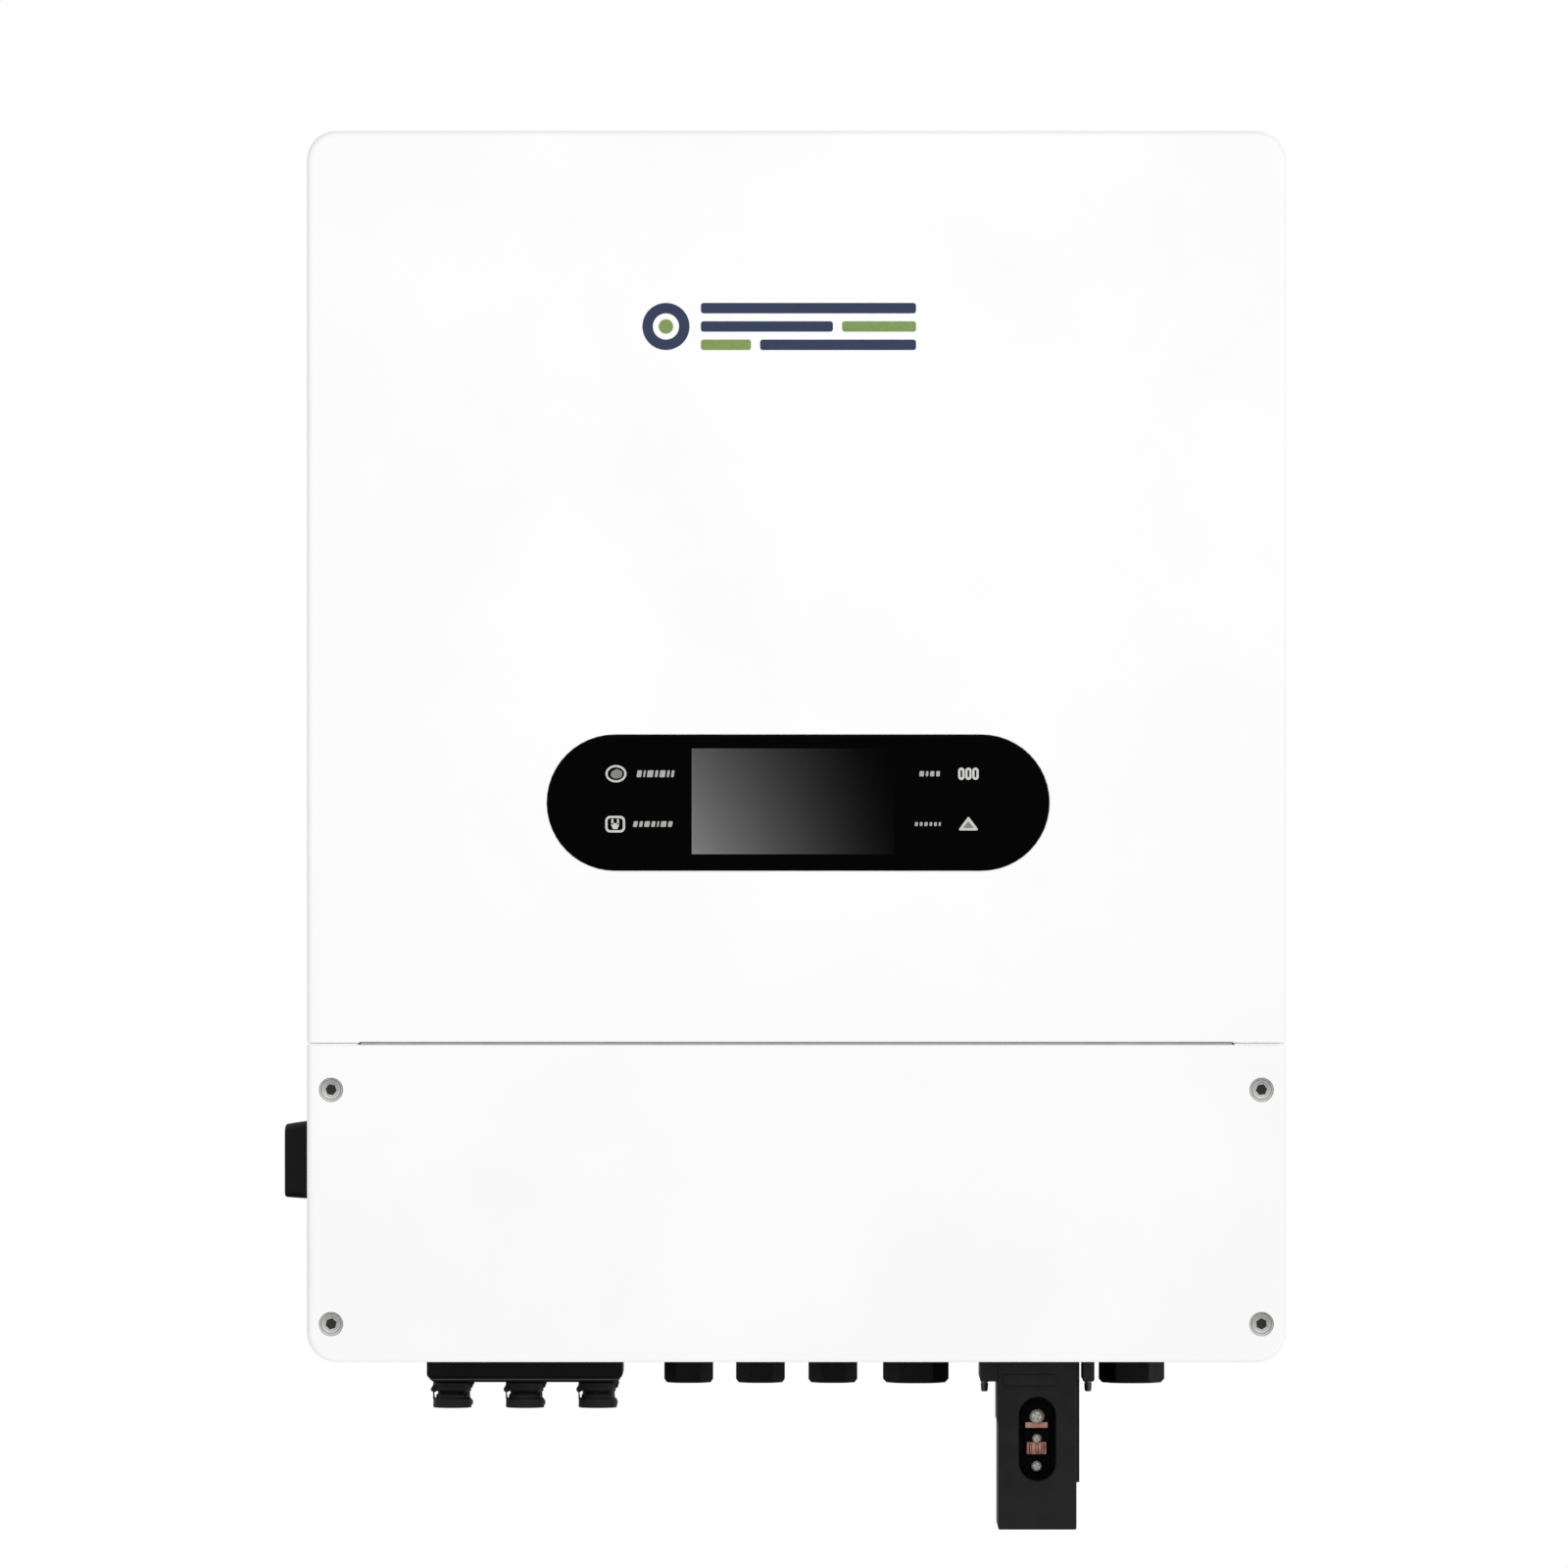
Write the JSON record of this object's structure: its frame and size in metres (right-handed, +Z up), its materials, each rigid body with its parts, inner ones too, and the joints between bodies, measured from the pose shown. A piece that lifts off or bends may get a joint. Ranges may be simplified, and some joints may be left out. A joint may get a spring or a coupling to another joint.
{
  "type": "string inverter",
  "caption": "Wall-hung hybrid string inverter: white two-part cover, black display window, rear fins, side switch, underside connectors, glands and a battery terminal box.",
  "frame": {"origin": "middle of the wall bracket's back face, where it rests on the wall", "axes": "+Z up; +Y into the wall, so the covers and the display face -Y; +X to the right as someone facing the covers sees it"},
  "size_m": [0.4446, 0.2052, 0.6181],
  "materials": {
    "white_paint": "fine white powder coat",
    "aluminium": "as extruded",
    "zinc_steel": "zinc plated sheet",
    "stainless": "plain stainless",
    "copper": "bare copper",
    "brass": "plain brass",
    "black_plastic": "fine moulded texture",
    "gloss_black": "polished black window",
    "screen_glass": "dark screen",
    "black_rubber": "soft matt rubber",
    "grey_foam": "closed-cell foam",
    "board_green": "lacquered circuit board",
    "capacitor_sleeve": "shrunk sleeve",
    "terminal_grey": "moulded"
  },
  "bodies": {
    "wall": {"wall_bracket": "zinc_steel"},
    "case": {"chassis": "white_paint", "heat_sink": "aluminium", "hanger_rail": "zinc_steel", "boost_inductor": "aluminium", "filter_inductor": "aluminium", "power_module": "black_plastic", "power_board": "board_green", "dc_link_capacitors": "capacitor_sleeve", "relay_bank": "black_plastic", "control_board": "board_green", "fan_frame": "black_plastic", "dc_switch_body": "black_plastic", "com_board": "board_green", "grid_terminal_block": "terminal_grey", "load_terminal_block": "terminal_grey", "earth_bar": "brass", "battery_terminal_carrier": "black_plastic", "battery_positive_bar": "copper", "battery_negative_bar": "copper", "battery_positive_screw": "stainless", "battery_negative_screw": "stainless", "battery_sense_screw": "stainless", "pv_connector_block": "black_plastic", "pv_connector_1": "black_plastic", "pv_connector_2": "black_plastic", "pv_connector_3": "black_plastic", "pv_connector_4": "black_plastic", "pv_connector_5": "black_plastic", "pv_connector_6": "black_plastic", "com_gland_1": "black_plastic", "com_gland_2": "black_plastic", "com_gland_3": "black_plastic", "grid_gland": "black_plastic", "load_gland": "black_plastic", "breather_valve": "black_plastic", "earth_screw": "stainless"},
    "upper_cover": {"upper_cover": "white_paint", "upper_gasket": "grey_foam", "display_window": "gloss_black", "display_frame": "black_plastic", "lcd_module": "screen_glass", "display_board": "board_green"},
    "lower_cover": {"lower_cover": "white_paint", "lower_gasket": "grey_foam"},
    "dc_switch_knob": {"dc_switch_knob": "black_plastic"},
    "fan_rotor": {"fan_rotor": "black_plastic"},
    "battery_box": {"battery_box": "black_plastic", "battery_grommet": "black_rubber"},
    "lower_cover_screw_1": {"lower_cover_screw_1": "stainless"},
    "lower_cover_screw_2": {"lower_cover_screw_2": "stainless"},
    "lower_cover_screw_3": {"lower_cover_screw_3": "stainless"},
    "lower_cover_screw_4": {"lower_cover_screw_4": "stainless"},
    "com_gland_1_nut": {"com_gland_1_nut": "black_plastic"},
    "com_gland_2_nut": {"com_gland_2_nut": "black_plastic"},
    "com_gland_3_nut": {"com_gland_3_nut": "black_plastic"},
    "grid_gland_nut": {"grid_gland_nut": "black_plastic"},
    "load_gland_nut": {"load_gland_nut": "black_plastic"},
    "battery_box_screw_left": {"battery_box_screw_left": "stainless"},
    "battery_box_screw_right": {"battery_box_screw_right": "stainless"}
  },
  "joints": [
    {"name": "case_lift_off", "type": "slide", "parent": "wall", "child": "case", "axis": [0, 0, 1], "range_m": [0, 0.025]},
    {"name": "upper_cover_off", "type": "slide", "parent": "case", "child": "upper_cover", "axis": [0, -1, 0], "range_m": [0, 0.15]},
    {"name": "lower_cover_off", "type": "slide", "parent": "case", "child": "lower_cover", "axis": [0, -1, 0], "range_m": [0, 0.15]},
    {"name": "lower_cover_screw_1_turn", "type": "hinge", "parent": "lower_cover", "child": "lower_cover_screw_1", "pos_m": [-0.2044, -0.1998, -0.3432], "axis": [0, -1, 0], "continuous": true},
    {"name": "lower_cover_screw_2_turn", "type": "hinge", "parent": "lower_cover", "child": "lower_cover_screw_2", "pos_m": [0.2044, -0.1998, -0.3432], "axis": [0, -1, 0], "continuous": true},
    {"name": "lower_cover_screw_3_turn", "type": "hinge", "parent": "lower_cover", "child": "lower_cover_screw_3", "pos_m": [-0.2044, -0.1998, -0.2403], "axis": [0, -1, 0], "continuous": true},
    {"name": "lower_cover_screw_4_turn", "type": "hinge", "parent": "lower_cover", "child": "lower_cover_screw_4", "pos_m": [0.2044, -0.1998, -0.2403], "axis": [0, -1, 0], "continuous": true},
    {"name": "dc_switch_turn", "type": "hinge", "parent": "case", "child": "dc_switch_knob", "pos_m": [-0.2118, -0.106, -0.2736], "axis": [-1, 0, 0], "range_deg": [0, 90]},
    {"name": "fan_spin", "type": "hinge", "parent": "case", "child": "fan_rotor", "pos_m": [-0.14, -0.124, 0.105], "axis": [0, -1, 0], "continuous": true},
    {"name": "com_gland_1_nut_turn", "type": "hinge", "parent": "case", "child": "com_gland_1_nut", "pos_m": [-0.0479, -0.111, -0.3568], "axis": [0, 0, -1], "continuous": true},
    {"name": "com_gland_2_nut_turn", "type": "hinge", "parent": "case", "child": "com_gland_2_nut", "pos_m": [-0.0159, -0.111, -0.3568], "axis": [0, 0, -1], "continuous": true},
    {"name": "com_gland_3_nut_turn", "type": "hinge", "parent": "case", "child": "com_gland_3_nut", "pos_m": [0.0164, -0.111, -0.3568], "axis": [0, 0, -1], "continuous": true},
    {"name": "grid_gland_nut_turn", "type": "hinge", "parent": "case", "child": "grid_gland_nut", "pos_m": [0.0534, -0.111, -0.3568], "axis": [0, 0, -1], "continuous": true},
    {"name": "load_gland_nut_turn", "type": "hinge", "parent": "case", "child": "load_gland_nut", "pos_m": [0.1496, -0.111, -0.3568], "axis": [0, 0, -1], "continuous": true},
    {"name": "battery_box_off", "type": "slide", "parent": "case", "child": "battery_box", "axis": [0, 0, -1], "range_m": [0, 0.1]},
    {"name": "battery_box_screw_left_turn", "type": "hinge", "parent": "battery_box", "child": "battery_box_screw_left", "pos_m": [0.084, -0.111, -0.3717], "axis": [0, 0, -1], "continuous": true},
    {"name": "battery_box_screw_right_turn", "type": "hinge", "parent": "battery_box", "child": "battery_box_screw_right", "pos_m": [0.1302, -0.111, -0.3717], "axis": [0, 0, -1], "continuous": true}
  ]
}
